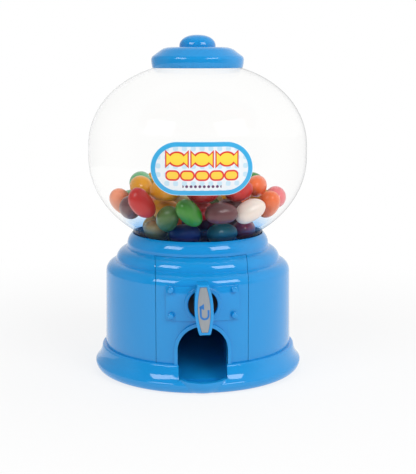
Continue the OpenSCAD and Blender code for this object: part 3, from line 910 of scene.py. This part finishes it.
def label():
    """A thin sticker with round ends, bent over the globe.

    Its UV map holds flat millimetres from its centre.
    """
    half_w, half_h = LABEL_HALF_W, LABEL_HALF_H
    centre = (LABEL_LOW.z + LABEL_HIGH.z) / 2
    turn = Matrix.Rotation(LABEL_TURN, 4, "Z")
    bpy.ops.mesh.primitive_grid_add(x_subdivisions=96, y_subdivisions=56, size=2)
    sheet = named("label_sheet")
    flat = []
    for vertex in sheet.data.vertices:
        rise = half_h * math.sin(vertex.co.y * math.pi / 2)
        end = math.sqrt(max(half_h * half_h - rise * rise, 0))
        flat.append((vertex.co.x * (half_w - half_h + end), rise))
    uv = sheet.data.uv_layers.active or sheet.data.uv_layers.new(name="flat")
    uv.name = "flat"
    for corner in sheet.data.loops:
        uv.data[corner.index].uv = flat[corner.vertex_index]
    for vertex, (across, rise) in zip(sheet.data.vertices, flat):
        z = centre + rise
        radius = globe_radius(z) + 0.05
        vertex.co = turn @ Vector((across, -math.sqrt(radius * radius - across * across), z)) * MM
    only(sheet)
    film = sheet.modifiers.new("film", "SOLIDIFY")
    film.thickness = 0.17 * MM
    film.offset = 1 if sheet.data.polygons[0].normal.y < 0 else -1
    bpy.ops.object.modifier_apply(modifier="film")
    finished(smooth(sheet), PRINT, "root", "label_film", "globe_label")


# ---------------------------------------------------------------- lid

SEAT = KNOB_LOW.z + 1.8  # floor of the lid's dip, that the knob stands on
STEM_R = 3               # the knob's stem
PLUG_IN = 13.05          # the plug's inner and outer radius and its lower end
PLUG_OUT = 14.45
PLUG_LOW = 118.6
KNOB_Z = 126.4           # top of the knob's upright side
SKIRT_IN = 16.2          # inside of the cap's skirt


def lid():
    """Cap with a bulging round shoulder, a rim that draws in a little, and a plug."""
    low = LID_LOW.z
    rim = LID_HIGH.x
    edge = [(rim - 0.62, low), (rim - 0.46, low + 0.06), (rim - 0.39, low + 0.22), (rim - 0.1, 120.2)]
    shoulder = arc(rim - 2, 121.5, 2, 0, 48, 10) + arc(10.6, 119.8, 6.5, 48, 90, 14)
    dip = arc(10.6, 122.3, 4, 94, 130, 10) + [(6.9, SEAT), (STEM_R, SEAT), (STEM_R, SEAT - 1.8)]
    plug = [(PLUG_IN, SEAT - 1.8), (PLUG_IN, PLUG_LOW + 0.2), (PLUG_IN + 0.2, PLUG_LOW),
            (PLUG_OUT - 0.2, PLUG_LOW), (PLUG_OUT, PLUG_LOW + 0.2), (PLUG_OUT, 121.9)]
    under = [(SKIRT_IN, 121.9), (SKIRT_IN, 119), (rim - 1, low + 0.2)]
    cap = turned("lid_dome", edge + shoulder + dip + plug + under, 160)
    finished(smooth(cap, 50), BLUE_PLASTIC, "lid", "blue_plastic", "lid_cap")


def lid_knob():
    """Domed button in the lid's dip, on a stem through the lid."""
    rim = KNOB_HIGH.x
    crown = full_oval(KNOB_Z, rim, KNOB_HIGH.z - KNOB_Z, 2.3, 4, 90, 24)
    outline = ([(0, SEAT + 0.1), (6.7, SEAT + 0.1)] + arc(rim - 0.2, SEAT + 0.3, 0.2, -60, 0, 4) +
               [(rim, KNOB_Z)] + crown)
    knob = turned("knob_button", outline, 96)
    stem = [(1.2, SEAT - 1.8), (STEM_R - 0.2, SEAT - 1.8), (STEM_R, SEAT - 1.6), (STEM_R, SEAT + 0.2),
            (1.2, SEAT + 0.2)]
    merge(knob, turned("knob_stem", stem, 48))
    finished(smooth(knob, 50), BLUE_PLASTIC, "lid", "blue_plastic", "lid_knob")


# ---------------------------------------------------------------- candies

BEAN_LONG = 6.35         # half sizes of a bean before it is bent and tapered
BEAN_THICK = 4.1
BEAN_TALL = 4.2


def bean(name, bend, taper, flat):
    """One jelly bean along X, as large as its CAD solid: bent, fatter at one end and slightly flat."""
    bpy.ops.mesh.primitive_uv_sphere_add(segments=32, ring_count=20, radius=1, rotation=(0, math.pi / 2, 0))
    obj = named(name)
    for vertex in obj.data.vertices:
        x, y, z = vertex.co
        blunt = math.copysign(abs(x) ** 0.92, x)
        across = (1 + taper * x) * (1 + 0.10 * (1 - x * x) * x * x)
        arch = bend * (0.5 - x * x)
        place = Vector((BEAN_LONG * blunt, BEAN_THICK * y * across * flat, BEAN_TALL * z * across + arch))
        vertex.co = place * MM
    return smooth(obj, 180)


def candies():
    """A bean over each candy of the frame, joined by colour."""
    shapes = [
        bean("bean_a", 0.55, 0.05, 0.97),
        bean("bean_b", 0.25, -0.07, 0.94),
        bean("bean_c", 0.8, 0.02, 1.0),
    ]
    for colour in CANDY:
        node = NODES["candies_" + colour]
        guide = bpy.data.objects.new("guide", node.data.copy())
        bpy.context.scene.collection.objects.link(guide)
        only(guide)
        bpy.ops.object.mode_set(mode="EDIT")
        bpy.ops.mesh.select_all(action="SELECT")
        bpy.ops.mesh.remove_doubles(threshold=0.00001)
        bpy.ops.mesh.separate(type="LOOSE")
        bpy.ops.object.mode_set(mode="OBJECT")
        made = []
        spots = []
        for part in list(bpy.context.selected_objects):
            points = [v.co.copy() for v in part.data.vertices]
            middle = sum(points, Vector()) / len(points)
            tip = max(points, key=lambda p: round((p - middle).length, 7))
            spots.append((middle, tip - middle))
            bpy.data.objects.remove(part)
        spots.sort(key=lambda spot: tuple(round(c, 5) for c in spot[0]))
        for count, (middle, along) in enumerate(spots):
            shape = shapes[(count + len(colour)) % 3]
            one = bpy.data.objects.new("one", shape.data.copy())
            bpy.context.scene.collection.objects.link(one)
            roll = Matrix.Rotation(count * 2.4 + len(colour), 4, "X")
            aim = along.to_track_quat("X", "Z").to_matrix().to_4x4()
            one.matrix_world = Matrix.Translation(middle) @ aim @ roll
            made.append(one)
        pile = merge(*made)
        pile.name = "beans_" + colour
        pile.data.name = pile.name
        only(pile)
        bpy.ops.object.transform_apply(location=True, rotation=True, scale=True)
        finished(pile, CANDY[colour], "root", "candy_" + colour, "candies_" + colour)
    for shape in shapes:
        bpy.data.objects.remove(shape)


def finish_frame():
    """Gives each CAD node the finish of its own slot."""
    for part in frame["record"]["subparts"]:
        node = NODES[part["node"]]
        node.data.materials.clear()
        node.data.materials.append(FINISHES[part["material_slot"]])


finish_frame()
housing()
panel()
foot()
handle()
turn_arrow()
globe()
label()
lid()
lid_knob()
candies()

# ---------------------------------------------------------------- stage, light and camera


def white_stage():
    """A white table that fades into the white backdrop, so only the contact shadow shows."""
    bpy.ops.mesh.primitive_circle_add(vertices=96, radius=0.6, fill_type="NGON")
    floor = bpy.context.object
    floor.name = "table"
    p = Paint("table_white")
    spot = p.node("SeparateXYZ", Vector=p.node("TexCoord").outputs["Object"]).outputs
    x, y = Value(p.tree, spot[0]), Value(p.tree, spot[1])
    near = (x * x + y * y).root().below(0.16, 0.09)
    matt = p.node("BsdfDiffuse", Color=(0.9, 0.9, 0.9, 1)).outputs[0]
    glow = p.node("Emission", Color=(1, 1, 1, 1), Strength=1.0).outputs[0]
    floor.data.materials.append(p.shader(p.blend(near * 0.22, glow, matt)))


def soft_light(name, azimuth, elevation, distance, width, height, power):
    """A softbox that faces the machine, azimuth 0 in front of it and positive to the right.

    Angles are in degrees, lengths in metres and power in watts.
    """
    turn = math.radians(azimuth)
    rise = math.radians(elevation)
    away = Vector((math.sin(turn) * math.cos(rise), -math.cos(turn) * math.cos(rise), math.sin(rise)))
    lamp = bpy.data.lights.new(name, "AREA")
    lamp.shape = "RECTANGLE"
    lamp.size = width
    lamp.size_y = height
    lamp.energy = power
    box = bpy.data.objects.new(name, lamp)
    box.location = Vector((0, 0, 0.07)) + away * distance
    box.rotation_euler = away.to_track_quat("Z", "Y").to_euler()
    bpy.context.scene.collection.objects.link(box)
    return box


def studio():
    """White behind, dimmer in front, on the left and high up, with two softboxes and a soft fill."""
    world = bpy.data.worlds.new("studio")
    bpy.context.scene.world = world
    world.use_nodes = True
    tree = world.node_tree
    back = tree.nodes["Background"]
    split = tree.nodes.new("ShaderNodeSeparateXYZ")
    tree.links.new(tree.nodes.new("ShaderNodeTexCoord").outputs["Generated"], split.inputs[0])
    across, around, up = (Value(tree, split.outputs[axis]) for axis in "XYZ")
    front = around.below(-0.4, 0.45)
    left = across.below(-0.45, 0.35)
    level = (0.98 - front * 0.8 - (up - 0.35).most(0.0) * 0.65 - left * 0.5).most(0.16)
    seen = Value(tree, tree.nodes.new("ShaderNodeLightPath").outputs["Is Camera Ray"])
    link(tree, level * (1.0 - seen) + seen, back.inputs["Strength"])
    back.inputs["Color"].default_value = (1, 1, 1, 1)
    soft_light("left_box", -47, 34, 0.9, 0.42, 0.32, 2.4)
    soft_light("right_box", 37, 34, 0.9, 0.46, 0.34, 2.9)
    fill = soft_light("fill", 12, 42, 1.0, 1.0, 1.0, 3.0)
    fill.visible_glossy = False


def camera():
    """A level long lens a little to the left of the front, looking slightly down."""
    around = math.radians(-2.8)
    distance = 0.4207
    height = 0.123
    down = math.radians(9.55)
    aim_right = math.radians(0.55)
    data = bpy.data.cameras.new("camera")
    data.lens = 81.8
    eye = bpy.data.objects.new("camera", data)
    eye.location = (distance * math.sin(around), -distance * math.cos(around), height)
    eye.rotation_euler = (math.radians(90) - down, 0, around - aim_right)
    bpy.context.scene.collection.objects.link(eye)
    bpy.context.scene.camera = eye


white_stage()
studio()
camera()
bpy.context.scene.view_settings.view_transform = "Standard"
